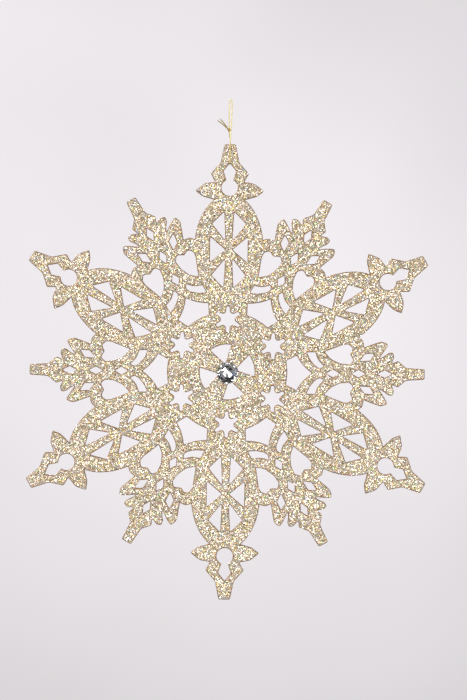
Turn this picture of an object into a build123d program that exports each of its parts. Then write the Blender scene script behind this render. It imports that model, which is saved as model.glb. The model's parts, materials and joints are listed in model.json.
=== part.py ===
from build123d import *
from math import cos, pi, radians, sin, sqrt, tan
import os

# Flat snowflake ornament that hangs from a loop of gold thread. Millimetres.
# The origin is the axis of the pin or hook that the loop hangs on. +Z is up, the snowflake hangs
# in the XZ plane and its front faces -Y.

# Plate
SNOWFLAKE_HEIGHT = 165.2  # tip to tip over two opposite long arms
CORE_THICKNESS = 2.0
GLITTER_THICKNESS = 0.2  # one coat of glue and flakes

# Stone, glued a little off the plate's centre
STONE_DIAMETER = 8.0
STONE_FACETS = 16
STONE_GIRDLE = 0.5
STONE_CROWN = 1.9
STONE_TABLE_DIAMETER = 4.4
STONE_OFFSET_X = 0.2
STONE_OFFSET_Z = -0.4
FOIL_THICKNESS = 0.1
FOIL_EDGE = 0.1  # how far the foil stops short of the stone's edge
GLUE_THICKNESS = 0.2
GLUE_EDGE = 0.5  # how far the glue stops short of the foil's edge

# Thread
THREAD_DIAMETER = 0.4
THREAD_CLEARANCE = 0.1  # between the thread and the plate's faces and keyhole
PIN_RADIUS = 0.3  # of the pin that the loop is sized for
LOOP_HEIGHT = 22.5  # from the pin's axis down to the top of the keyhole
LEG_ABOVE_TAB = 0.6  # how far the bight's legs reach above the arm's tip
LEG_BEND_RISE = 1.2  # from the top of the legs up to where the strands come together
LEAN_PLACE = 0.6  # share of the way down to the knot where the right strand leans forward
LEAN_INWARD = 0.05
LEAN_FORWARD = 0.1
LEAN_RADIUS = 8.0
LEG_BEND_RADIUS = 2.0
KNOT_ABOVE_TAB = 5.25  # from the arm's tip up to the knot's middle
KNOT_RADIUS = 0.55
KNOT_HEIGHT = 1.8
KNOT_ROUNDING = 0.8  # share of the knot's radius
THREAD_IN_KNOT = 0.2  # how far the strands run into the knot
TAIL_SPACING = 0.5
# Each tail's points, from the knot's middle: to the left, away from the other tail, and up
TAIL_LONG = ((0.2, 0.0, 0.2), (1.5, 0.1, 1.5), (3.8, 0.4, 3.2))
TAIL_SHORT = ((0.2, 0.0, 0.2), (1.0, 0.1, 1.6), (2.9, 0.2, 3.8))
TAIL_RADIUS = 4.0

# The pattern is drawn at its first size, then scaled to SNOWFLAKE_HEIGHT
PATTERN_HEIGHT = 165.2
PATTERN_REACH = PATTERN_HEIGHT / 2
ARMS = 6
HUB_RADIUS = 21.8
STAR_HOLE_PLACE = 19.1
KEYHOLE_TOP = 75.85
KEYHOLE_PLACE = 66.9  # of its round foot
KEYHOLE_RADIUS = 3.0
PETAL_MIDDLE = 44.4
PETAL_HALF_WIDTH = 12.6
PETAL_HALF_LENGTH = 20.2
# Diamond holes up a short arm: where each is, half its width and half its height
DIAMONDS = ((57.2, 1.4, 2.7), (47.7, 1.4, 2.6), (38.4, 1.45, 2.4))
HUB_WEDGES = 4
HUB_WEDGE_TURN = -15  # degrees clockwise from the arm, so the spokes stand askew
HUB_WEDGE_REACH = 10.0
HUB_WEDGE_START = 2.95

pattern_scale = SNOWFLAKE_HEIGHT / PATTERN_HEIGHT
keyhole_top = KEYHOLE_TOP * pattern_scale
plate_centre_z = -LOOP_HEIGHT - keyhole_top
face_y = CORE_THICKNESS / 2 + GLITTER_THICKNESS
thread_radius = THREAD_DIAMETER / 2


# Outline helpers. Each works in the arm's own frame: the plate's centre at 0, 0 and the arm up.


def rounded_corner(before, corner, after, wanted):
    """Start, middle and end of the arc that rounds a corner, as large as wanted if it fits."""
    side_in = (before - corner).normalized()
    side_out = (after - corner).normalized()
    half_angle = radians(side_in.get_angle(side_out)) / 2
    room = 0.47 * min((before - corner).length, (after - corner).length)
    cut = min(wanted / tan(half_angle), room)
    radius = cut * tan(half_angle)
    inward = (side_in + side_out).normalized()
    middle = corner + inward * (radius / sin(half_angle) - radius)
    return corner + side_in * cut, middle, corner + side_out * cut


def rounded_face(corners):
    """A face from (x, y, radius) corners, with an arc at each corner."""
    points = [Vector(x, y) for x, y, _ in corners]
    arcs = [
        rounded_corner(points[i - 1], points[i], points[(i + 1) % len(points)], corner[2])
        for i, corner in enumerate(corners)
    ]
    edges = []
    for i, arc in enumerate(arcs):
        edges.append(Edge.make_three_point_arc(*arc))
        edges.append(Edge.make_line(arc[2], arcs[(i + 1) % len(arcs)][0]))
    face = Face(Wire(edges))
    return face if face.normal_at().Z > 0 else -face


def both_sides(right_half):
    """Corners of a symmetrical outline from those of its right half, listed from top to bottom."""
    left_half = [(-x, y, radius) for x, y, radius in reversed(right_half) if x > 0]
    return right_half + left_half


def mirrored(face):
    return mirror(face, about=Plane.YZ)


def around(faces, first_angle, count=ARMS):
    """Copies of the faces round the centre; angles run clockwise from straight up."""
    step = 360 / count
    return [Rot(0, 0, -first_angle - step * i) * face for i in range(count) for face in faces]


# Solid areas of the plate


def long_arm_tip():
    """Hanging tab, elbows and the two side leaves at the end of a long arm."""
    return rounded_face(
        both_sides(
            [
                (2.05, PATTERN_REACH, 0.6),
                (3.4, 76.0, 2.0),
                (6.95, 72.0, 0.7),
                (5.25, 69.0, 0.3),
                (9.2, 68.4, 4.0),
                (12.4, 65.7, 0.3),
                (9.9, 63.7, 4.0),
                (5.3, 62.4, 0.3),
                (5.3, 54.0, 0.3),
            ]
        )
    )


def petal():
    return Pos(0, PETAL_MIDDLE) * Ellipse(PETAL_HALF_WIDTH, PETAL_HALF_LENGTH).face()


def short_arm():
    """Blunt tip, two pairs of fingers and the shoulders that run into the petals."""
    return rounded_face(
        both_sides(
            [
                (1.85, 71.65, 0.6),
                (2.3, 64.9, 2.0),
                (4.8, 62.0, 0.7),
                (3.75, 59.6, 0.3),
                (6.2, 60.6, 1.5),
                (7.9, 60.1, 0.8),
                (7.6, 58.4, 1.5),
                (6.5, 57.0, 1.5),
                (5.35, 54.9, 0.2),
                (8.6, 57.2, 2.5),
                (10.9, 58.4, 0.8),
                (11.8, 55.9, 2.5),
                (10.9, 53.2, 5.0),
                (9.55, 49.6, 0.2),
                (11.9, 49.4, 4.0),
                (14.2, 46.6, 1.0),
                (14.0, 35.0, 1.0),
                (8.0, 20.0, 1.0),
            ]
        )
    )


# Holes


def keyhole():
    """Pointed top, narrow neck and round foot; the thread hangs in the point of the top one."""
    upper = rounded_face(
        [
            (0, KEYHOLE_TOP, 0.15),
            (2.3, 72.95, 0.3),
            (1.3, 69.9, 0.3),
            (1.3, 67.5, 0.1),
            (-1.3, 67.5, 0.1),
            (-1.3, 69.9, 0.3),
            (-2.3, 72.95, 0.3),
        ]
    )
    foot = Pos(0, KEYHOLE_PLACE) * Circle(KEYHOLE_RADIUS).face()
    return (upper + foot).face()


def petal_windows():
    """Six openings between the petal's rim, its spine and its four ribs."""
    end_window = [(1.8, 13.8, 0.3), (6.2, 9.35, 0.4), (1.25, 3.2, 0.3)]
    side_window = [(6.85, 4.7, 0.35), (1.3, 0, 0.3), (6.85, -4.7, 0.35)]
    upper = [(x, PETAL_MIDDLE + y, radius) for x, y, radius in end_window]
    lower = [(x, PETAL_MIDDLE - y, radius) for x, y, radius in end_window]
    side = [(x, PETAL_MIDDLE + y, radius) for x, y, radius in side_window]
    right = [rounded_face(corners) for corners in (upper, side, lower)]
    return right + [mirrored(face) for face in right]


def star_hole():
    """Six round-ended spokes, with a rounded lobe of the plate between each two."""
    reach, half_width, notch = 4.75, 0.55, 1.75
    spoke = [
        (-half_width, reach, 0.5),
        (half_width, reach, 0.5),
        (notch * sin(pi / ARMS), notch * cos(pi / ARMS), 1.2),
    ]
    corners = []
    for i in range(ARMS):
        turn = 2 * pi * i / ARMS
        for x, y, radius in spoke:
            turned_x = x * cos(turn) + y * sin(turn)
            turned_y = y * cos(turn) - x * sin(turn)
            corners.append((turned_x, STAR_HOLE_PLACE + turned_y, radius))
    return rounded_face(corners)


def diamond(middle, half_width, half_height):
    return rounded_face(
        [
            (0, middle + half_height, 0.25),
            (half_width, middle, 0.25),
            (0, middle - half_height, 0.25),
            (-half_width, middle, 0.25),
        ]
    )


def slanted_window():
    return rounded_face(
        [(7.4, 53.4, 0.3), (4.8, 51.8, 0.4), (4.55, 48.0, 0.3), (7.2, 50.0, 0.4)]
    )


def heart():
    """Leaning heart between a short arm and the petal beside it."""
    return rounded_face(
        [
            (7.8, 35.3, 0.3),
            (5.2, 37.6, 4.0),
            (3.6, 41.0, 4.0),
            (3.25, 44.2, 1.2),
            (4.7, 45.9, 1.0),
            (7.1, 44.6, 0.4),
            (9.2, 45.7, 1.1),
            (10.6, 44.0, 1.1),
            (10.5, 42.2, 4.0),
        ]
    )


def crescent():
    """Curved slot that runs from the short arm's axis out to the petal's flank."""
    return rounded_face(
        [
            (7.55, 31.9, 0.3),
            (7.55, 28.85, 0.3),
            (4.9, 30.1, 4.0),
            (2.5, 32.1, 4.0),
            (1.75, 33.7, 0.9),
            (2.6, 35.3, 0.5),
            (3.3, 34.3, 3.0),
            (4.9, 32.9, 4.0),
        ]
    )


def hub_window():
    """Opening at the foot of a short arm, bounded below by the hub's rim."""
    roof = [(0, 30.8), (2.6, 27.75), (6.3, 25.15)]
    foot = (4.3, sqrt(HUB_RADIUS**2 - 4.3**2))
    sides = [
        Edge.make_three_point_arc(*roof),
        Edge.make_line(roof[-1], foot),
        Edge.make_three_point_arc(foot, (0, HUB_RADIUS), (-foot[0], foot[1])),
        Edge.make_line((-foot[0], foot[1]), (-roof[2][0], roof[2][1])),
        Edge.make_three_point_arc(*[(-x, y) for x, y in reversed(roof)]),
    ]
    opening = Face(Wire(sides))
    return fillet(opening.vertices(), 0.3).face()


def hub_wedge():
    """One of four openings that leave the hub's four spokes between them."""
    outer, inner = HUB_WEDGE_REACH, HUB_WEDGE_START
    half_angle, apex_angle = radians(23.0), radians(32.5)
    rim_x, rim_y = outer * sin(half_angle), outer * cos(half_angle)
    knee_x = rim_x * 0.98
    knee_y = inner + knee_x / tan(apex_angle)
    sides = [
        Edge.make_line((0, inner), (knee_x, knee_y)),
        Edge.make_line((knee_x, knee_y), (rim_x, rim_y)),
        Edge.make_three_point_arc((rim_x, rim_y), (0, outer), (-rim_x, rim_y)),
        Edge.make_line((-rim_x, rim_y), (-knee_x, knee_y)),
        Edge.make_line((-knee_x, knee_y), (0, inner)),
    ]
    return Face(Wire(sides))


def plate_face():
    """The whole pierced outline, with the first long arm straight up."""
    solid_areas = [Circle(PETAL_MIDDLE).face()]
    solid_areas += around([long_arm_tip(), petal()], 0)
    solid_areas += around([short_arm()], 180 / ARMS)
    outline = solid_areas[0].fuse(*solid_areas[1:]).clean().face().outer_wire()

    long_arm_holes = [keyhole(), star_hole()] + petal_windows()
    one_side = [slanted_window(), heart(), crescent()]
    short_arm_holes = one_side + [mirrored(face) for face in one_side]
    short_arm_holes += [diamond(*size) for size in DIAMONDS] + [hub_window()]
    holes = around(long_arm_holes, 0) + around(short_arm_holes, 180 / ARMS)
    holes += around([hub_wedge()], HUB_WEDGE_TURN, HUB_WEDGES)
    face = Face(outline, [hole.face().outer_wire() for hole in holes])
    return scale(face, by=pattern_scale)


# Solids


def standing(shape, back_y):
    """Stands a shape drawn on the XY plane upright at the plate's centre, its back at back_y."""
    return Plane((0, back_y, plate_centre_z), x_dir=(1, 0, 0), z_dir=(0, -1, 0)) * shape


def plate_layers():
    """The moulded core and the glitter coats on its two faces."""
    face = plate_face()
    return {
        "snowflake_core": standing(extrude(face, CORE_THICKNESS), CORE_THICKNESS / 2),
        "front_glitter_coat": standing(extrude(face, GLITTER_THICKNESS), -CORE_THICKNESS / 2),
        "back_glitter_coat": standing(extrude(face, GLITTER_THICKNESS), face_y),
    }


def stone_parts():
    """Faceted stone, the mirror foil behind it and the dab of glue that holds both."""
    place = Pos(STONE_OFFSET_X, STONE_OFFSET_Z)
    foil_radius = STONE_DIAMETER / 2 * cos(pi / STONE_FACETS) - FOIL_EDGE
    foil_back = -face_y - GLUE_THICKNESS
    stone_back = foil_back - FOIL_THICKNESS
    glue = extrude(Circle(foil_radius - GLUE_EDGE), GLUE_THICKNESS)
    foil = extrude(Circle(foil_radius), FOIL_THICKNESS)
    girdle = RegularPolygon(STONE_DIAMETER / 2, STONE_FACETS)
    table = RegularPolygon(STONE_TABLE_DIAMETER / 2, STONE_FACETS)
    crown = loft(
        [Pos(0, 0, STONE_GIRDLE) * girdle, Pos(0, 0, STONE_GIRDLE + STONE_CROWN) * table],
        ruled=True,
    )
    stone = extrude(girdle, STONE_GIRDLE) + crown
    return {
        "glue_dab": standing(place * glue, -face_y),
        "rhinestone_foil": standing(place * foil, foil_back),
        "rhinestone": standing(place * stone, stone_back),
    }


def thread_tube(points, radii):
    """A round thread along straight runs joined by tangent arcs, with its radii printed."""
    route = FilletPolyline(*points, radius=radii)
    start = Plane(route @ 0, z_dir=route % 0)
    tube = sweep(start * Circle(thread_radius), path=Wire(route.edges()))
    ratio = tube.volume / (pi * thread_radius**2 * route.length)
    print(f"thread length {route.length:.2f}, radii {radii}, volume ratio {ratio:.4f}")
    return tube


def thread_parts():
    """The loop in its runs, with the knot in the left strand and its two cut tails."""
    strand_x = PIN_RADIUS + thread_radius
    top_z = strand_x
    leg_y = face_y + THREAD_CLEARANCE + thread_radius
    bight_z = -LOOP_HEIGHT - THREAD_CLEARANCE - thread_radius * sqrt(2)
    tab_top_z = plate_centre_z + SNOWFLAKE_HEIGHT / 2
    leg_top_z = tab_top_z + LEG_ABOVE_TAB
    leg_bend_z = leg_top_z + LEG_BEND_RISE
    knot_x, knot_z = -strand_x, tab_top_z + KNOT_ABOVE_TAB
    top_bend = 0.9 * strand_x
    front_run = thread_tube(
        [
            (knot_x, 0, knot_z + KNOT_HEIGHT / 2 - THREAD_IN_KNOT),
            (-strand_x, 0, top_z),
            (strand_x, 0, top_z),
            (strand_x - LEAN_INWARD, -LEAN_FORWARD, knot_z * LEAN_PLACE),
            (0, -leg_y, leg_bend_z),
            (0, -leg_y, leg_top_z),
        ],
        [top_bend, top_bend, LEAN_RADIUS, LEG_BEND_RADIUS],
    )
    back_run = thread_tube(
        [
            (knot_x, 0, knot_z - KNOT_HEIGHT / 2 + THREAD_IN_KNOT),
            (0, leg_y, leg_bend_z),
            (0, leg_y, leg_top_z),
        ],
        [LEG_BEND_RADIUS],
    )
    bight = thread_tube(
        [
            (0, -leg_y, leg_top_z),
            (0, -leg_y, bight_z),
            (0, leg_y, bight_z),
            (0, leg_y, leg_top_z),
        ],
        [THREAD_DIAMETER, THREAD_DIAMETER],
    )
    knot = Cylinder(KNOT_RADIUS, KNOT_HEIGHT)
    knot = fillet(knot.edges().filter_by(GeomType.CIRCLE), KNOT_RADIUS * KNOT_ROUNDING)

    def tail(steps, side):
        points = [
            (knot_x - left, side * (TAIL_SPACING / 2 + away), knot_z + up)
            for left, away, up in steps
        ]
        return thread_tube(points, [TAIL_RADIUS])

    return {
        "thread_front_run": front_run,
        "thread_back_run": back_run,
        "thread_bight": bight,
        "thread_knot": Pos(knot_x, 0, knot_z) * knot,
        "thread_tail_long": tail(TAIL_LONG, -1),
        "thread_tail_short": tail(TAIL_SHORT, 1),
    }


os.makedirs("parts", exist_ok=True)
pieces = plate_layers() | stone_parts() | thread_parts()
for name, piece in pieces.items():
    piece.label = name
    export_step(piece, f"parts/{name}.step")
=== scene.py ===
import json
import math

import bmesh
import bpy
import numpy as np
from mathutils import Matrix, Vector


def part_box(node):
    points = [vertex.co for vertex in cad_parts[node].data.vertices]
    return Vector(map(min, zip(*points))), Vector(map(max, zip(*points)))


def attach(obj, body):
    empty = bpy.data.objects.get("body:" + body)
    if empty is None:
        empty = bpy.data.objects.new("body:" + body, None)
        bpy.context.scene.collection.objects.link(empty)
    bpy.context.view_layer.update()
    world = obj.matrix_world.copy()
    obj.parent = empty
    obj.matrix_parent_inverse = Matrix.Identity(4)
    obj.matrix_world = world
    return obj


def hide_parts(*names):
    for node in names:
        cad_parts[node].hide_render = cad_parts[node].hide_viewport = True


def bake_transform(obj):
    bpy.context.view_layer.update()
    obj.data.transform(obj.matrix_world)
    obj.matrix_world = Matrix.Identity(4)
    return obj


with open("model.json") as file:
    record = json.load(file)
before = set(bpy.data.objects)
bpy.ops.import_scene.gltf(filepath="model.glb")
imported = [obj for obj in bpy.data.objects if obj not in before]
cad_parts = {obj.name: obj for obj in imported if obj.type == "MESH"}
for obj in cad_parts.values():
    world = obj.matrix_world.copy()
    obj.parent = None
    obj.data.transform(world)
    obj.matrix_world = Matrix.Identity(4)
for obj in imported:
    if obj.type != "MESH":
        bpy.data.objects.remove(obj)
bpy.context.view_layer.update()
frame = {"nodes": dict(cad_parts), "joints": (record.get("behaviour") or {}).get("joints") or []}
MM = 0.001
SAME_PLACE = 0.001 * MM  # points nearer than this are one point

# Camera: straight on, with the ornament hanging a little askew in the picture
VIEW_DISTANCE = 1.2
VIEW_HEIGHT = 254.2 * MM  # of the picture, at the ornament
VIEW_AIM = (2.2 * MM, 8.0 * MM)  # right of and above the snowflake's centre
VIEW_ROLL = math.radians(0.78)

# Plate
EDGE_RADIUS = 0.35 * MM  # rounding of the moulded core's rims
COAT_INSET = 0.3 * MM  # how far a glitter coat stops short of the core's outline
COAT_EDGE_RADIUS = 0.06 * MM
FLAKE_INSET = 0.5 * MM  # flakes' middles keep this far from the outline
FLAKES_PER_SIDE = 92000
FLAKE_RADIUS = (0.11 * MM, 0.215 * MM)
FLAKE_TILT = math.radians(15)
FLAKE_TILT_LIMIT = 1.8  # times the usual tilt
FLAKE_LIFT = (0.01 * MM, 0.07 * MM)
BIG_FLAKE_SHARE = 0.05
BIG_FLAKE_SCALE = 1.35
PRESSED_REACH = 8.5 * MM  # from the keyhole's top, where the thread presses the flakes in
PRESSED_HEIGHT = 0.06 * MM  # that their highest corner keeps to there
RIM_FLAKE_SPACING = 0.9 * MM
RIM_FLAKE_INSET = (0.2 * MM, 0.38 * MM)
RIM_FLAKE_RADIUS = (0.07 * MM, 0.16 * MM)
WALL_FLAKE_SPACING = 0.3 * MM

# Thread
THREAD_DIAMETER = 0.4 * MM
THREAD_PLIES = 3
PLY_PITCH = 1.5 * MM
PLY_LOBE = 0.12  # of the thread's radius
TIP_SHARE = 0.55  # of the thread's thickness, at a cut end
FIBRES_PER_TIP = 9
FIBRE_DIAMETER = 0.07 * MM
FIBRE_REACH = (0.35 * MM, 0.75 * MM)

# Stone and foil
GIRDLE_HEIGHT = 0.5 * MM
TABLE_SHARE = 0.56  # of the stone's radius
STAR_SHARE = 0.80
STAR_DEPTH = 0.48  # of the crown's height, from the table
FOIL_PEAK = Vector((-0.5, -0.8, 1.1)) * MM  # from the middle of the foil's front face
FOIL_RIDGE_SHARE = 0.62  # of the foil's radius
FOIL_RIDGE_HEIGHT = 0.38 * MM

BODY_THREAD, BODY_BEND, BODY_SNOWFLAKE = "hanging_thread", "thread_bend", "snowflake"


# ---------------------------------------------------------------- helpers


def mesh_object(name, vertices, faces, materials=(), face_materials=None, smooth=False):
    """A mesh object in the scene, from points in metres and lists of point numbers."""
    mesh = bpy.data.meshes.new(name)
    mesh.from_pydata([tuple(v) for v in vertices], [], [tuple(f) for f in faces])
    for material in materials:
        mesh.materials.append(material)
    if face_materials is not None:
        mesh.polygons.foreach_set("material_index", np.asarray(face_materials, np.int32))
    mesh.polygons.foreach_set("use_smooth", [smooth] * len(mesh.polygons))
    mesh.validate()
    mesh.update()
    piece = bpy.data.objects.new(name, mesh)
    bpy.context.scene.collection.objects.link(piece)
    return piece


def node_arrays(node):
    """A CAD node's points, merged where they coincide, and its triangles."""
    mesh = frame["nodes"][node].data
    mesh.calc_loop_triangles()
    points = np.array([v.co for v in mesh.vertices])
    triangles = np.array([t.vertices for t in mesh.loop_triangles])
    _, first, merged = np.unique(
        np.round(points / SAME_PLACE).astype(np.int64), axis=0,
        return_index=True, return_inverse=True,
    )
    return points[first], merged.reshape(-1)[triangles]


def front_outlines(node):
    """The closed outlines of a flat node's front face, outer and holes, as lists of (x, z)."""
    points, triangles = node_arrays(node)
    front = points[:, 1].min() + SAME_PLACE
    flat = triangles[(points[triangles][:, :, 1] < front).all(axis=1)]
    following = {}
    edges = {(a, b) for t in flat for a, b in ((t[0], t[1]), (t[1], t[2]), (t[2], t[0]))}
    for a, b in edges:
        if (b, a) not in edges:
            following[a] = b
    outlines = []
    while following:
        start, at = next(iter(following.items()))
        outline = [start]
        del following[start]
        while at != start:
            outline.append(at)
            at = following.pop(at)
        outlines.append([(points[i][0], points[i][2]) for i in outline])
    return sorted(outlines, key=lambda line: min(line))


def plate_arrays(outlines, inset, rounding, front_y, back_y):
    """Points and faces of a plate with those outlines, moved in by inset, and round rims."""
    curve = bpy.data.curves.new("plate_outline", "CURVE")
    curve.dimensions = "2D"
    curve.fill_mode = "BOTH"
    curve.bevel_depth = rounding
    curve.bevel_resolution = 2
    curve.extrude = (back_y - front_y) / 2 - rounding
    curve.offset = -(inset + rounding)
    for outline in outlines:
        spline = curve.splines.new("POLY")
        spline.points.add(len(outline) - 1)
        for point, (x, z) in zip(spline.points, outline):
            point.co = (x, z, 0, 1)
        spline.use_cyclic_u = True
    shaper = bpy.data.objects.new("plate_outline", curve)
    mesh = bpy.data.meshes.new_from_object(shaper)
    work = bmesh.new()
    work.from_mesh(mesh)
    bmesh.ops.remove_doubles(work, verts=work.verts, dist=2 * SAME_PLACE)
    work.verts.ensure_lookup_table()
    middle = (front_y + back_y) / 2
    vertices = [(v.co.x, middle - v.co.z, v.co.y) for v in work.verts]
    faces = [[v.index for v in f.verts] for f in work.faces]
    work.free()
    bpy.data.objects.remove(shaper)
    bpy.data.curves.remove(curve)
    bpy.data.meshes.remove(mesh)
    return vertices, faces


# ---------------------------------------------------------------- materials


class Nodes:
    """Short calls for building one material's node tree."""

    def __init__(self, name):
        self.material = bpy.data.materials.new(name)
        self.material.use_nodes = True
        self.tree = self.material.node_tree
        self.shader = self.tree.nodes["Principled BSDF"]

    def add(self, kind, inputs=None, **settings):
        node = self.tree.nodes.new(kind)
        for key, value in settings.items():
            setattr(node, key, value)
        for key, value in (inputs or {}).items():
            self.feed(node.inputs[key], value)
        return node

    def feed(self, socket, value):
        if isinstance(value, bpy.types.NodeSocket):
            self.tree.links.new(value, socket)
        else:
            socket.default_value = value

    def surface(self, **values):
        for key, value in values.items():
            self.feed(self.shader.inputs[key.replace("_", " ")], value)

    def position(self, scale):
        """The point on the piece, in its own frame, times scale."""
        place = self.add("ShaderNodeTexCoord").outputs["Object"]
        mapping = self.add("ShaderNodeMapping", {"Vector": place, "Scale": (scale,) * 3})
        return mapping.outputs["Vector"]

    def ramp(self, factor, stops, interpolation="LINEAR"):
        node = self.add("ShaderNodeValToRGB", {"Fac": factor})
        node.color_ramp.interpolation = interpolation
        elements = node.color_ramp.elements
        while len(elements) < len(stops):
            elements.new(1.0)
        for element, (place, colour) in zip(elements, stops):
            element.position = place
            element.color = (*colour, 1)
        return node.outputs["Color"]

    def bump(self, height, distance, strength=1.0):
        node = self.add("ShaderNodeBump", {"Height": height, "Strength": strength})
        node.inputs["Distance"].default_value = distance
        return node.outputs["Normal"]


# Colours of the glitter's flakes: linear colour, and how many in a hundred have it
FLAKE_COLOURS = {
    "pale_gold": ((0.90, 0.75, 0.53), 25),
    "champagne": ((0.74, 0.58, 0.39), 23),
    "silver": ((0.97, 0.95, 0.92), 22),
    "bronze": ((0.42, 0.29, 0.17), 11),
    "rose": ((0.88, 0.48, 0.40), 6),
    "yellow": ((0.90, 0.70, 0.16), 6),
    "green": ((0.34, 0.72, 0.30), 3.5),
    "blue": ((0.45, 0.62, 0.85), 3.5),
}


def flake_material(name, colour):
    nodes = Nodes(f"flake_{name}")
    nodes.surface(Base_Color=(*colour, 1), Metallic=0.85, Roughness=0.24)
    return nodes.material


def glitter_material():
    """Fine flakes set in glue: each cell has its own colour, tilt and gloss, and painted shade darkens it
    towards its edge.
    """
    nodes = Nodes("glitter_coat")
    cells = nodes.add("ShaderNodeTexVoronoi", {"Vector": nodes.position(2600), "Scale": 1.0})
    random = nodes.add("ShaderNodeSeparateColor", {"Color": cells.outputs["Color"]})
    stops, place = [], 0.0
    for colour, share in FLAKE_COLOURS.values():
        stops.append((place, colour))
        place += share / 100
    colour = nodes.ramp(random.outputs["Red"], stops, "CONSTANT")
    # painted shade: each cell darkens towards its edge, as shade between the flakes
    gap = nodes.ramp(cells.outputs["Distance"], [(0.45, (1, 1, 1)), (0.9, (0.5, 0.42, 0.34))])
    shaded = nodes.add("ShaderNodeMix", data_type="RGBA", blend_type="MULTIPLY")
    nodes.feed(shaded.inputs["Factor"], 1.0)
    nodes.feed(shaded.inputs["A"], colour)
    nodes.feed(shaded.inputs["B"], gap)
    rough = nodes.add(
        "ShaderNodeMapRange",
        {"Value": random.outputs["Blue"], "To Min": 0.22, "To Max": 0.55},
    )
    nodes.surface(
        Base_Color=shaded.outputs["Result"],
        Roughness=rough.outputs["Result"],
        Metallic=0.6,
        Normal=nodes.bump(random.outputs["Green"], 0.12 * MM, 0.8),
    )
    return nodes.material


def core_material():
    """Light bronze moulded plastic, a little mottled by glue that ran over the rim, its colours darker than
    the plastic: painted shade for the dark line along the rounded rims.
    """
    nodes = Nodes("core_plastic")
    place = nodes.position(900)
    mottle = nodes.add("ShaderNodeTexNoise", {"Vector": place, "Scale": 1.0, "Detail": 4.0})
    # painted shade: the dark brown stops stand for the shade line along the rims, the palest one for the
    # plastic itself
    colour = nodes.ramp(
        mottle.outputs["Fac"],
        [(0.3, (0.16, 0.082, 0.038)), (0.55, (0.34, 0.20, 0.11)), (0.75, (0.56, 0.39, 0.25))],
    )
    rough = nodes.add(
        "ShaderNodeMapRange", {"Value": mottle.outputs["Fac"], "To Min": 0.3, "To Max": 0.6}
    )
    nodes.surface(
        Base_Color=colour,
        Roughness=rough.outputs["Result"],
        Metallic=0.15,
        Normal=nodes.bump(mottle.outputs["Fac"], 0.05 * MM, 0.6),
    )
    return nodes.material


def stone_material():
    nodes = Nodes("stone_glass")
    nodes.surface(Base_Color=(0.97, 0.985, 1.0, 1), Roughness=0.02, IOR=1.6)
    nodes.surface(Transmission_Weight=1.0)
    return nodes.material


def foil_material():
    """Silver mirror foil with faint brush marks, and blue and yellow-green spots that are painted glints of
    the stone's dispersion.
    """
    nodes = Nodes("stone_foil")
    noise = nodes.add("ShaderNodeTexNoise", {"Vector": nodes.position(700), "Scale": 1.0})
    # painted glints: the blue and yellow-green ends of this ramp stand for the stone's dispersion
    colour = nodes.ramp(
        noise.outputs["Fac"],
        [
            (0.28, (0.30, 0.48, 0.90)),
            (0.35, (0.80, 0.83, 0.88)),
            (0.66, (0.95, 0.95, 0.95)),
            (0.72, (0.75, 0.88, 0.30)),
        ],
    )
    nodes.surface(Base_Color=colour, Metallic=1.0, Roughness=0.03)
    return nodes.material


def glue_material():
    nodes = Nodes("clear_glue")
    noise = nodes.add("ShaderNodeTexNoise", {"Vector": nodes.position(500), "Scale": 1.0})
    colour = nodes.ramp(
        noise.outputs["Fac"], [(0.3, (0.62, 0.56, 0.46)), (0.7, (0.86, 0.83, 0.76))]
    )
    nodes.surface(
        Base_Color=colour,
        Roughness=0.2,
        Normal=nodes.bump(noise.outputs["Fac"], 0.1 * MM, 0.5),
    )
    return nodes.material


def thread_material(name, dark, middle, bright):
    """Metallised yarn: a bright foil wrap over darker fibre."""
    nodes = Nodes(name)
    place = nodes.position(1.0)
    fibre = nodes.add("ShaderNodeTexNoise", {"Vector": place, "Scale": 9000.0, "Detail": 3.0})
    colour = nodes.ramp(
        fibre.outputs["Fac"],
        [(0.32, dark), (0.5, middle), (0.68, bright)],
    )
    rough = nodes.add(
        "ShaderNodeMapRange", {"Value": fibre.outputs["Fac"], "To Min": 0.25, "To Max": 0.5}
    )
    nodes.surface(
        Base_Color=colour,
        Roughness=rough.outputs["Result"],
        Metallic=0.6,
        Normal=nodes.bump(fibre.outputs["Fac"], 0.02 * MM, 0.7),
    )
    return nodes.material


def backdrop_material():
    nodes = Nodes("backdrop_paper")
    noise = nodes.add("ShaderNodeTexNoise", {"Vector": nodes.position(5), "Scale": 1.0, "Detail": 1.0})
    colour = nodes.ramp(noise.outputs["Fac"], [(0.3, (0.625, 0.604, 0.62)), (0.7, (0.67, 0.649, 0.666))])
    nodes.surface(Base_Color=colour, Roughness=0.9)
    return nodes.material


# ---------------------------------------------------------------- camera, lights, backdrop

core_low, core_high = (Vector(corner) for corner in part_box("snowflake_core"))
coat_low, coat_high = (Vector(corner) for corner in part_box("front_glitter_coat"))
PLATE_CENTRE = (core_low + core_high) / 2
KEYHOLE_TOP = Vector(next(j for j in frame["joints"] if j["name"] == "keyhole_rock")["pos_m"])


def make_camera():
    data = bpy.data.cameras.new("camera")
    data.sensor_fit = "AUTO"
    data.sensor_width = 36
    data.lens = data.sensor_width * VIEW_DISTANCE / VIEW_HEIGHT
    data.clip_end = 50
    camera = bpy.data.objects.new("camera", data)
    bpy.context.scene.collection.objects.link(camera)
    place = PLATE_CENTRE + Vector((VIEW_AIM[0], -VIEW_DISTANCE, VIEW_AIM[1]))
    level = Matrix.Rotation(math.radians(90), 4, "X")
    camera.matrix_world = Matrix.Translation(place) @ level @ Matrix.Rotation(VIEW_ROLL, 4, "Z")
    bpy.context.scene.camera = camera


def soft_light(name, place, size, power, colour=(1, 1, 1), target=PLATE_CENTRE):
    """A square soft box that faces its target."""
    data = bpy.data.lights.new(name, "AREA")
    data.size = size
    data.energy = power
    data.color = colour
    light = bpy.data.objects.new(name, data)
    bpy.context.scene.collection.objects.link(light)
    light.location = place
    light.rotation_mode = "QUATERNION"
    light.rotation_quaternion = (target - Vector(place)).to_track_quat("-Z", "Y")


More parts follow.
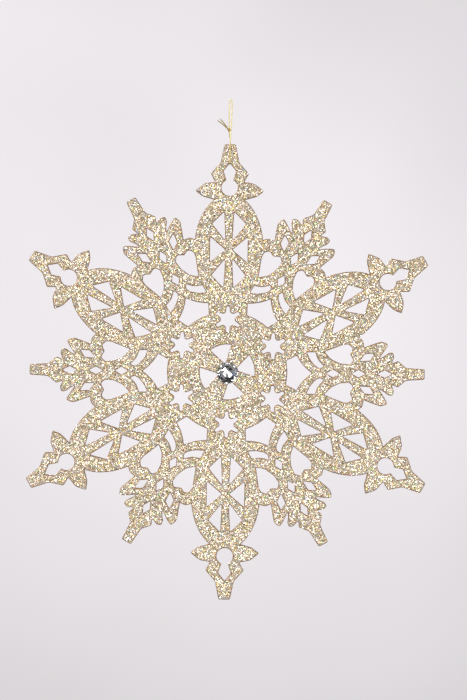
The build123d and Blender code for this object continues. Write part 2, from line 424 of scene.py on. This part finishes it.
def make_lights():
    world = bpy.data.worlds.new("studio")
    bpy.context.scene.world = world
    world.use_nodes = True
    tree = world.node_tree
    room = tree.nodes["Background"]
    room.inputs["Color"].default_value = (0.80, 0.78, 0.80, 1)
    room.inputs["Strength"].default_value = 0.36
    seen = tree.nodes.new("ShaderNodeBackground")
    seen.inputs["Color"].default_value = (0.80, 0.77, 0.79, 1)
    path, mix = tree.nodes.new("ShaderNodeLightPath"), tree.nodes.new("ShaderNodeMixShader")
    tree.links.new(path.outputs["Is Camera Ray"], mix.inputs["Fac"])
    tree.links.new(room.outputs["Background"], mix.inputs[1])
    tree.links.new(seen.outputs["Background"], mix.inputs[2])
    tree.links.new(mix.outputs["Shader"], tree.nodes["World Output"].inputs["Surface"])
    soft_light("key", (-1.2, -1.5, 1.1), 0.9, 30, (1.0, 0.985, 0.96))
    soft_light("fill", (1.5, -1.3, 0.1), 0.8, 14, (0.97, 0.98, 1.0))
    soft_light("low_left", (-0.76, -1.7, -0.86), 0.6, 7)
    soft_light("low_right", (0.76, -1.7, -0.86), 0.6, 7)
    soft_light("glint", (-0.76, -1.7, 0.66), 0.3, 3)
    soft_light("back", (-0.9, 1.1, 0.8), 1.0, 26)
    soft_light("sheet", (0.05, 1.15, -0.1), 0.3, 1.1, target=Vector((0.05, 2, -0.1)))
    dark_card("dark_card", (0.2, -2.4, 0.8), 1.9)
    scene = bpy.context.scene
    scene.view_settings.view_transform = "Standard"
    scene.view_settings.look = "None"


def dark_card(name, place, size):
    """A dark card behind the camera, for the stone and the flakes to reflect."""
    corners = [(-1, -1), (1, -1), (1, 1), (-1, 1)]
    facing = (PLATE_CENTRE - Vector(place)).to_track_quat("-Z", "Y")
    points = [Vector(place) + facing @ Vector((x * size / 2, z * size / 2, 0)) for x, z in corners]
    nodes = Nodes(name)
    weave = nodes.add("ShaderNodeTexNoise", {"Vector": nodes.position(40), "Scale": 1.0})
    colour = nodes.ramp(weave.outputs["Fac"], [(0.3, (0.008, 0.008, 0.01)), (0.7, (0.02, 0.02, 0.022))])
    nodes.surface(Base_Color=colour, Roughness=0.9)
    card = mesh_object(name, points, [(0, 1, 2, 3)], [nodes.material])
    card.visible_camera = False


def make_backdrop():
    """A plain pale sheet hung well behind the ornament, bellied a little towards it."""
    half_width, wall_y, top, bottom, belly, rows = 5.0, 1.9, 3.0, -4.5, 0.3, 12
    vertices = []
    for i in range(rows + 1):
        down = i / rows
        y = wall_y - belly * math.sin(math.pi * down) ** 2
        z = top + (bottom - top) * down
        vertices += [(-half_width, y, z), (half_width, y, z)]
    faces = [(2 * i + 2, 2 * i + 3, 2 * i + 1, 2 * i) for i in range(rows)]
    backdrop = mesh_object("backdrop", vertices, faces, [backdrop_material()], smooth=True)


# ---------------------------------------------------------------- thread


def route_points(points, steps=12):
    """Points along one smooth NURBS line that has the given control points."""
    curve = bpy.data.curves.new("route", "CURVE")
    curve.dimensions = "3D"
    curve.resolution_u = steps
    spline = curve.splines.new("NURBS")
    spline.points.add(len(points) - 1)
    for target, point in zip(spline.points, points):
        target.co = (*point, 1)
    spline.use_endpoint_u = True
    spline.order_u = 3
    holder = bpy.data.objects.new("route", curve)
    mesh = bpy.data.meshes.new_from_object(holder)
    line = [v.co.copy() for v in mesh.vertices]
    bpy.data.objects.remove(holder)
    bpy.data.curves.remove(curve)
    bpy.data.meshes.remove(mesh)
    return line


def even_points(line, step):
    """The same line with points a step apart."""
    line = np.array(line)
    lengths = np.linalg.norm(np.diff(line, axis=0), axis=1)
    along = np.concatenate([[0], np.cumsum(lengths)])
    count = max(2, int(round(along[-1] / step)) + 1)
    places = np.linspace(0, along[-1], count)
    return np.stack([np.interp(places, along, line[:, k]) for k in range(3)], axis=1)


def strand_arrays(line, diameter, around=15, taper_end=False):
    """A twisted thread along a line: its section has a lobe for each ply and turns as it goes."""
    line = np.asarray(line)
    ahead = np.gradient(line, axis=0)
    ahead /= np.linalg.norm(ahead, axis=1)[:, None]
    across = np.cross(ahead[0], (0.0, 1.0, 0.0))
    if np.linalg.norm(across) < 0.1:
        across = np.cross(ahead[0], (1.0, 0.0, 0.0))
    along = np.concatenate([[0], np.cumsum(np.linalg.norm(np.diff(line, axis=0), axis=1))])
    vertices, faces = [], []
    for i, (point, forward) in enumerate(zip(line, ahead)):
        across = across - forward * np.dot(across, forward)
        across /= np.linalg.norm(across)
        up = np.cross(forward, across)
        twist = 2 * math.pi * along[i] / PLY_PITCH
        left = along[-1] - along[i]
        size = min(1.0, TIP_SHARE + left / (3 * diameter)) if taper_end else 1.0
        for k in range(around):
            turn = 2 * math.pi * k / around
            lobe = 1 - PLY_LOBE + PLY_LOBE * math.cos(THREAD_PLIES * (turn - twist))
            radius = diameter / 2 * lobe * size
            vertices.append(point + radius * (math.cos(turn) * across + math.sin(turn) * up))
    for i in range(len(line) - 1):
        for k in range(around):
            a, b = i * around + k, i * around + (k + 1) % around
            faces.append((a, b, b + around, a + around))
    faces.append(tuple(reversed(range(around))))
    faces.append(tuple(range((len(line) - 1) * around, len(line) * around)))
    return vertices, faces


def loop_route():
    """The closed thread loop: from the keyhole up the front, over the pin and down to the back."""
    half_gap = 0.5 * MM
    leg = -coat_low.y + 0.3 * MM
    leg_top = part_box("thread_bight")[1][2]
    bend_z = KEYHOLE_TOP.z - 0.05 * MM
    corner = leg + 0.1 * MM
    near_corner = KEYHOLE_TOP.z + 1.0 * MM
    pin_side = -2.4 * MM
    return [
        (0, -0.01 * MM, bend_z),
        (0, -corner, bend_z),
        (0, -leg, near_corner),
        (-0.05 * MM, -leg, leg_top),
        (0.02 * MM, -leg, leg_top + 1.2 * MM),
        (half_gap * 0.9, -0.1 * MM, -6.3 * MM),
        (half_gap, 0, pin_side),
        (half_gap, 0, half_gap),
        (-half_gap, 0, half_gap),
        (-half_gap, 0, pin_side),
        (-half_gap, 0, -9.8 * MM),
        (-half_gap * 0.95, 0, -11.2 * MM),
        (0, leg, leg_top + 1.2 * MM),
        (0, leg, leg_top),
        (0, leg, near_corner),
        (0, corner, bend_z),
        (0, 0.01 * MM, bend_z),
    ]


def make_thread_loop(material):
    line = even_points(route_points(loop_route()), 0.1 * MM)
    vertices, faces = strand_arrays(line, THREAD_DIAMETER)
    loop = mesh_object("thread_loop", vertices, faces, [material], smooth=True)
    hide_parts("thread_front_run", "thread_bight", "thread_back_run")
    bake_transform(loop)
    return loop, line


def turn_share(z):
    """How much of the thread's twist a point at height z follows."""
    t = min(max(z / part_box("thread_bight")[1][2], 0), 1)
    return t * t * (3 - 2 * t)


def turn_with_thread(piece, z):
    """Finds the share of the thread's twist at height z, but leaves the piece unturned and only bakes its
    transform into its mesh.
    """
    wanted = turn_share(z)
    low, high = 0.0, 1.0
    for _ in range(40):
        middle = (low + high) / 2
        low, high = (middle, high) if middle * middle * (3 - 2 * middle) < wanted else (low, middle)
    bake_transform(piece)


def make_knot(material):
    """A tight overhand knot round the loop's left strand."""
    low, high = (Vector(corner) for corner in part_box("thread_knot"))
    centre = (low + high) / 2
    wide, tall, deep, steps = 0.155 * MM, 0.2 * MM, 0.22 * MM, 180
    line = []
    for i in range(steps + 1):
        t = 2 * math.pi * i / steps
        x = (math.sin(t) + 2 * math.sin(2 * t)) * wide
        z = (math.cos(t) - 2 * math.cos(2 * t)) * tall
        y = -math.sin(3 * t) * deep
        line.append(centre + Vector((x, y, z)))
    vertices, faces = strand_arrays(line, THREAD_DIAMETER * 0.95)
    knot = mesh_object("overhand_knot", vertices, faces, [material], smooth=True)
    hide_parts("thread_knot")
    turn_with_thread(knot, centre.z)
    return knot


def make_tail(name, node, points, material):
    """A cut end of the thread, its plies opening out at the tip."""
    knot_z = (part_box("thread_knot")[0][2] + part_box("thread_knot")[1][2]) / 2
    line = even_points(route_points(points), 0.1 * MM)
    vertices, faces = strand_arrays(line, THREAD_DIAMETER, taper_end=True)
    rng = np.random.default_rng(len(name))
    tip, ahead = line[-1], line[-1] - line[-4]
    ahead /= np.linalg.norm(ahead)
    for _ in range(FIBRES_PER_TIP):
        aside = rng.normal(size=3) * 0.35
        reach = rng.uniform(*FIBRE_REACH)
        start = tip - ahead * 0.3 * MM
        fibre = [start + (ahead + aside * s) * reach * s for s in np.linspace(0, 1, 6)]
        more, more_faces = strand_arrays(fibre, FIBRE_DIAMETER, around=6)
        first = len(vertices)
        vertices += more
        faces += [tuple(first + v for v in face) for face in more_faces]
    tail = mesh_object(name, vertices, faces, [material], smooth=True)
    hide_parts(node)
    turn_with_thread(tail, knot_z)
    return tail


def make_thread():
    pale = thread_material("gold_thread", (0.50, 0.36, 0.08), (0.88, 0.72, 0.26), (1.0, 0.92, 0.58))
    # painted shade: a darker copy of the gold thread, used on the knot and the cut ends
    shaded_thread = thread_material("gold_thread_end_shaded", (0.12, 0.075, 0.008), (0.38, 0.255, 0.02), (0.92, 0.70, 0.11))
    loop, line = make_thread_loop(pale)
    knot = make_knot(shaded_thread)
    knot_low, knot_high = (Vector(corner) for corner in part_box("thread_knot"))
    x, z = knot_low.x + 0.25 * MM, (knot_low.z + knot_high.z) / 2 + 0.2 * MM
    long_points = [
        (x, -0.25 * MM, z),
        (x - 1.3 * MM, -0.35 * MM, z + 1.3 * MM),
        (x - 3.6 * MM, -0.65 * MM, z + 3.0 * MM),
    ]
    short_points = [
        (x, 0.25 * MM, z),
        (x - 0.8 * MM, 0.35 * MM, z + 1.4 * MM),
        (x - 2.7 * MM, 0.45 * MM, z + 3.6 * MM),
    ]
    tails = [
        make_tail("tail_long", "thread_tail_long", long_points, shaded_thread),
        make_tail("tail_short", "thread_tail_short", short_points, shaded_thread),
    ]


# ---------------------------------------------------------------- plate


def make_core(outlines, material):
    vertices, faces = plate_arrays(outlines, 0, EDGE_RADIUS, core_low.y, core_high.y)
    core = mesh_object("plate_core", vertices, faces, [material])
    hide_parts("snowflake_core")
    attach(core, BODY_SNOWFLAKE)


def make_coat(name, node, outlines, material):
    low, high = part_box(node)
    vertices, faces = plate_arrays(outlines, COAT_INSET, COAT_EDGE_RADIUS, low[1], high[1])
    coat = mesh_object(name, vertices, faces, [material])
    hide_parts(node)
    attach(coat, BODY_SNOWFLAKE)


def flat_triangles(outlines, inset):
    """Triangles, as (x, z) corners, that fill the outlines moved in by inset."""
    vertices, faces = plate_arrays(outlines, inset, 0, -0.5 * MM, 0.5 * MM)
    points = np.array(vertices)
    flat = [f for f in faces if len(f) == 3 and points[f][:, 1].max() < -0.49 * MM]
    return points[np.array(flat)][:, :, [0, 2]]


def scatter(triangles, count, rng):
    """Random places spread evenly over the triangles."""
    a, b, c = triangles[:, 0], triangles[:, 1], triangles[:, 2]
    area = np.abs(np.cross(b - a, c - a)) / 2
    pick = rng.choice(len(area), count, p=area / area.sum())
    u, v = rng.random(count), rng.random(count)
    over = u + v > 1
    u[over], v[over] = 1 - u[over], 1 - v[over]
    return a[pick] + u[:, None] * (b - a)[pick] + v[:, None] * (c - a)[pick]


def make_flakes(name, centres, normals, radii, rng, materials):
    """Six-sided flakes at small tilts on a surface, sunk deeper where the thread passes over."""
    count = len(centres)
    lean = rng.normal(0, 1, (count, 3)).clip(-FLAKE_TILT_LIMIT, FLAKE_TILT_LIMIT)
    leaning = normals + math.tan(FLAKE_TILT) * lean
    leaning /= np.linalg.norm(leaning, axis=1)[:, None]
    radius = rng.uniform(*radii, count)
    radius = (radius * np.where(rng.random(count) < BIG_FLAKE_SHARE, BIG_FLAKE_SCALE, 1.0))[:, None]
    across = np.cross(leaning, rng.normal(size=(count, 3)))
    across /= np.linalg.norm(across, axis=1)[:, None]
    along = np.cross(leaning, across)
    lift = rng.uniform(*FLAKE_LIFT, count)[:, None]
    rise = radius * np.sqrt(1 - np.sum(leaning * normals, axis=1) ** 2)[:, None]
    place = centres[:, [0, 2]] - (KEYHOLE_TOP.x, KEYHOLE_TOP.z)
    pressed = np.linalg.norm(place, axis=1)[:, None] < PRESSED_REACH
    lifted = centres + normals * np.where(pressed, np.minimum(lift, PRESSED_HEIGHT - rise), lift)
    corners = [
        lifted + radius * (math.cos(k * math.pi / 3) * across + math.sin(k * math.pi / 3) * along)
        for k in range(6)
    ]
    vertices = np.stack(corners, axis=1).reshape(-1, 3)
    faces = [tuple(range(6 * i, 6 * i + 6)) for i in range(count)]
    shares = np.array([share for _, share in FLAKE_COLOURS.values()])
    kinds = rng.choice(len(shares), count, p=shares / shares.sum())
    flakes = mesh_object(name, vertices, faces, materials, kinds)
    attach(flakes, BODY_SNOWFLAKE)


def along_outlines(outlines, spacing, rng):
    """Random places along all the outlines, and the level direction out of the plate at each."""
    places, outward = [], []
    for outline in outlines:
        line = np.array(outline)
        step = np.roll(line, -1, axis=0) - line
        length = np.linalg.norm(step, axis=1)
        count = int(length.sum() / spacing)
        pick = rng.choice(len(line), count, p=length / length.sum())
        places.append(line[pick] + rng.random(count)[:, None] * step[pick])
        side = np.stack([step[:, 1], -step[:, 0]], axis=1) / length[:, None]
        outward.append(side[pick])
    return np.concatenate(places), np.concatenate(outward)


def upright(places, y):
    """Points (x, y, z) from (x, z) places."""
    return np.stack([places[:, 0], np.broadcast_to(y, len(places)), places[:, 1]], axis=1)


def make_plate():
    outlines = front_outlines("front_glitter_coat")
    glitter = glitter_material()
    make_core(outlines, core_material())
    make_coat("coat_front", "front_glitter_coat", outlines, glitter)
    make_coat("coat_back", "back_glitter_coat", outlines, glitter)
    flakes = [flake_material(name, colour) for name, (colour, _) in FLAKE_COLOURS.items()]
    triangles = flat_triangles(outlines, FLAKE_INSET)
    rng = np.random.default_rng(7)
    back_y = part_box("back_glitter_coat")[1][1]
    for side, coat_y, rim_y, facing in (
        ("front", coat_low.y, core_low.y, -1),
        ("back", back_y, core_high.y, 1),
    ):
        places = scatter(triangles, FLAKES_PER_SIDE, rng)
        left = places[:, 0] < PLATE_CENTRE.x
        for half, chosen in (("left", left), ("right", ~left)):
            centres = upright(places[chosen], coat_y)
            normals = np.tile((0.0, facing, 0.0), (len(centres), 1))
            make_flakes(f"flakes_{side}_{half}", centres, normals, FLAKE_RADIUS, rng, flakes)
        rim, outward = along_outlines(outlines, RIM_FLAKE_SPACING, rng)
        rim = rim - outward * rng.uniform(*RIM_FLAKE_INSET, len(rim))[:, None]
        normals = np.tile((0.0, facing, 0.0), (len(rim), 1))
        make_flakes(f"rim_flakes_{side}", upright(rim, rim_y), normals, RIM_FLAKE_RADIUS, rng, flakes)
    wall, outward = along_outlines(outlines, WALL_FLAKE_SPACING, rng)
    reach = core_high.y - EDGE_RADIUS
    centres = upright(wall, rng.uniform(-reach, reach, len(wall)))
    make_flakes("wall_flakes", centres, upright(outward, 0), RIM_FLAKE_RADIUS, rng, flakes)


# ---------------------------------------------------------------- stone


def ring(centre, count, size, y, first=0.0):
    """Points evenly round the centre, clockwise from the top, at depth y."""
    turns = [2 * math.pi * (i + first) / count for i in range(count)]
    return [(centre.x + size * math.sin(t), y, centre.z + size * math.cos(t)) for t in turns]


def make_stone():
    """Round stone with a flat table, eight star and kite facets and sixteen girdle facets."""
    low, high = (Vector(corner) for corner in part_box("rhinestone"))
    centre = (low + high) / 2
    radius = (high.x - low.x) / 2
    back, front = high.y, low.y
    girdle = back - GIRDLE_HEIGHT
    crown = girdle - front

    table = ring(centre, 8, radius * TABLE_SHARE, front, 0.5)
    star = ring(centre, 8, radius * STAR_SHARE, front + crown * STAR_DEPTH)
    upper = ring(centre, 16, radius, girdle)
    lower = ring(centre, 16, radius * 0.985, back)
    vertices = table + star + upper + lower
    t, s, u, w = 0, 8, 16, 32
    faces = [tuple(range(8))]
    for i in range(8):
        after = (i + 1) % 8
        before = (i - 1) % 8
        faces.append((t + before, s + i, t + i))
        faces.append((t + i, s + i, u + 2 * i + 1, s + after))
        faces.append((s + i, u + 2 * i, u + 2 * i + 1))
        faces.append((s + i, u + (2 * i - 1) % 16, u + 2 * i))
    for k in range(16):
        after = (k + 1) % 16
        faces.append((u + k, w + k, w + after, u + after))
    faces.append(tuple(w + k for k in reversed(range(16))))
    stone = mesh_object("faceted_stone", vertices, faces, [stone_material()])
    outward_normals(stone)
    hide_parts("rhinestone")
    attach(stone, BODY_SNOWFLAKE)


def make_foil():
    """Mirror foil behind the stone: two rings of facets round a peak left of and above its middle."""
    low, high = (Vector(corner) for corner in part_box("rhinestone_foil"))
    centre = (low + high) / 2
    radius = (high.x - low.x) / 2
    peak = (centre.x + FOIL_PEAK.x, low.y + FOIL_PEAK.y, centre.z + FOIL_PEAK.z)

    back = ring(centre, 16, radius, high.y)
    rim = ring(centre, 16, radius, low.y - 0.02 * MM)
    ridge = ring(centre, 8, radius * FOIL_RIDGE_SHARE, low.y - FOIL_RIDGE_HEIGHT, 0.5)
    vertices = back + rim + ridge + [peak]
    faces = [tuple(range(16))]
    for k in range(16):
        after = (k + 1) % 16
        faces.append((k, 16 + k, 16 + after, after))
    for i in range(8):
        after = (i + 1) % 8
        faces.append((16 + 2 * i, 32 + i, 16 + 2 * i + 1))
        faces.append((16 + 2 * i + 1, 32 + i, 16 + (2 * i + 2) % 16))
        faces.append((16 + (2 * i + 2) % 16, 32 + i, 32 + after))
        faces.append((32 + i, 40, 32 + after))
    foil = mesh_object("faceted_foil", vertices, faces, [foil_material()])
    outward_normals(foil)
    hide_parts("rhinestone_foil")
    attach(foil, BODY_SNOWFLAKE)


def outward_normals(piece):
    work = bmesh.new()
    work.from_mesh(piece.data)
    bmesh.ops.recalc_face_normals(work, faces=work.faces)
    work.to_mesh(piece.data)
    work.free()


def dress_node(node, material):
    """Gives a CAD node, whose shape is right, a better material."""
    slots = frame["nodes"][node].data.materials
    slots.clear()
    slots.append(material)


def make_stone_parts():
    make_stone()
    make_foil()
    dress_node("glue_dab", glue_material())


make_camera()
make_thread()
make_lights()
make_backdrop()
make_plate()
make_stone_parts()
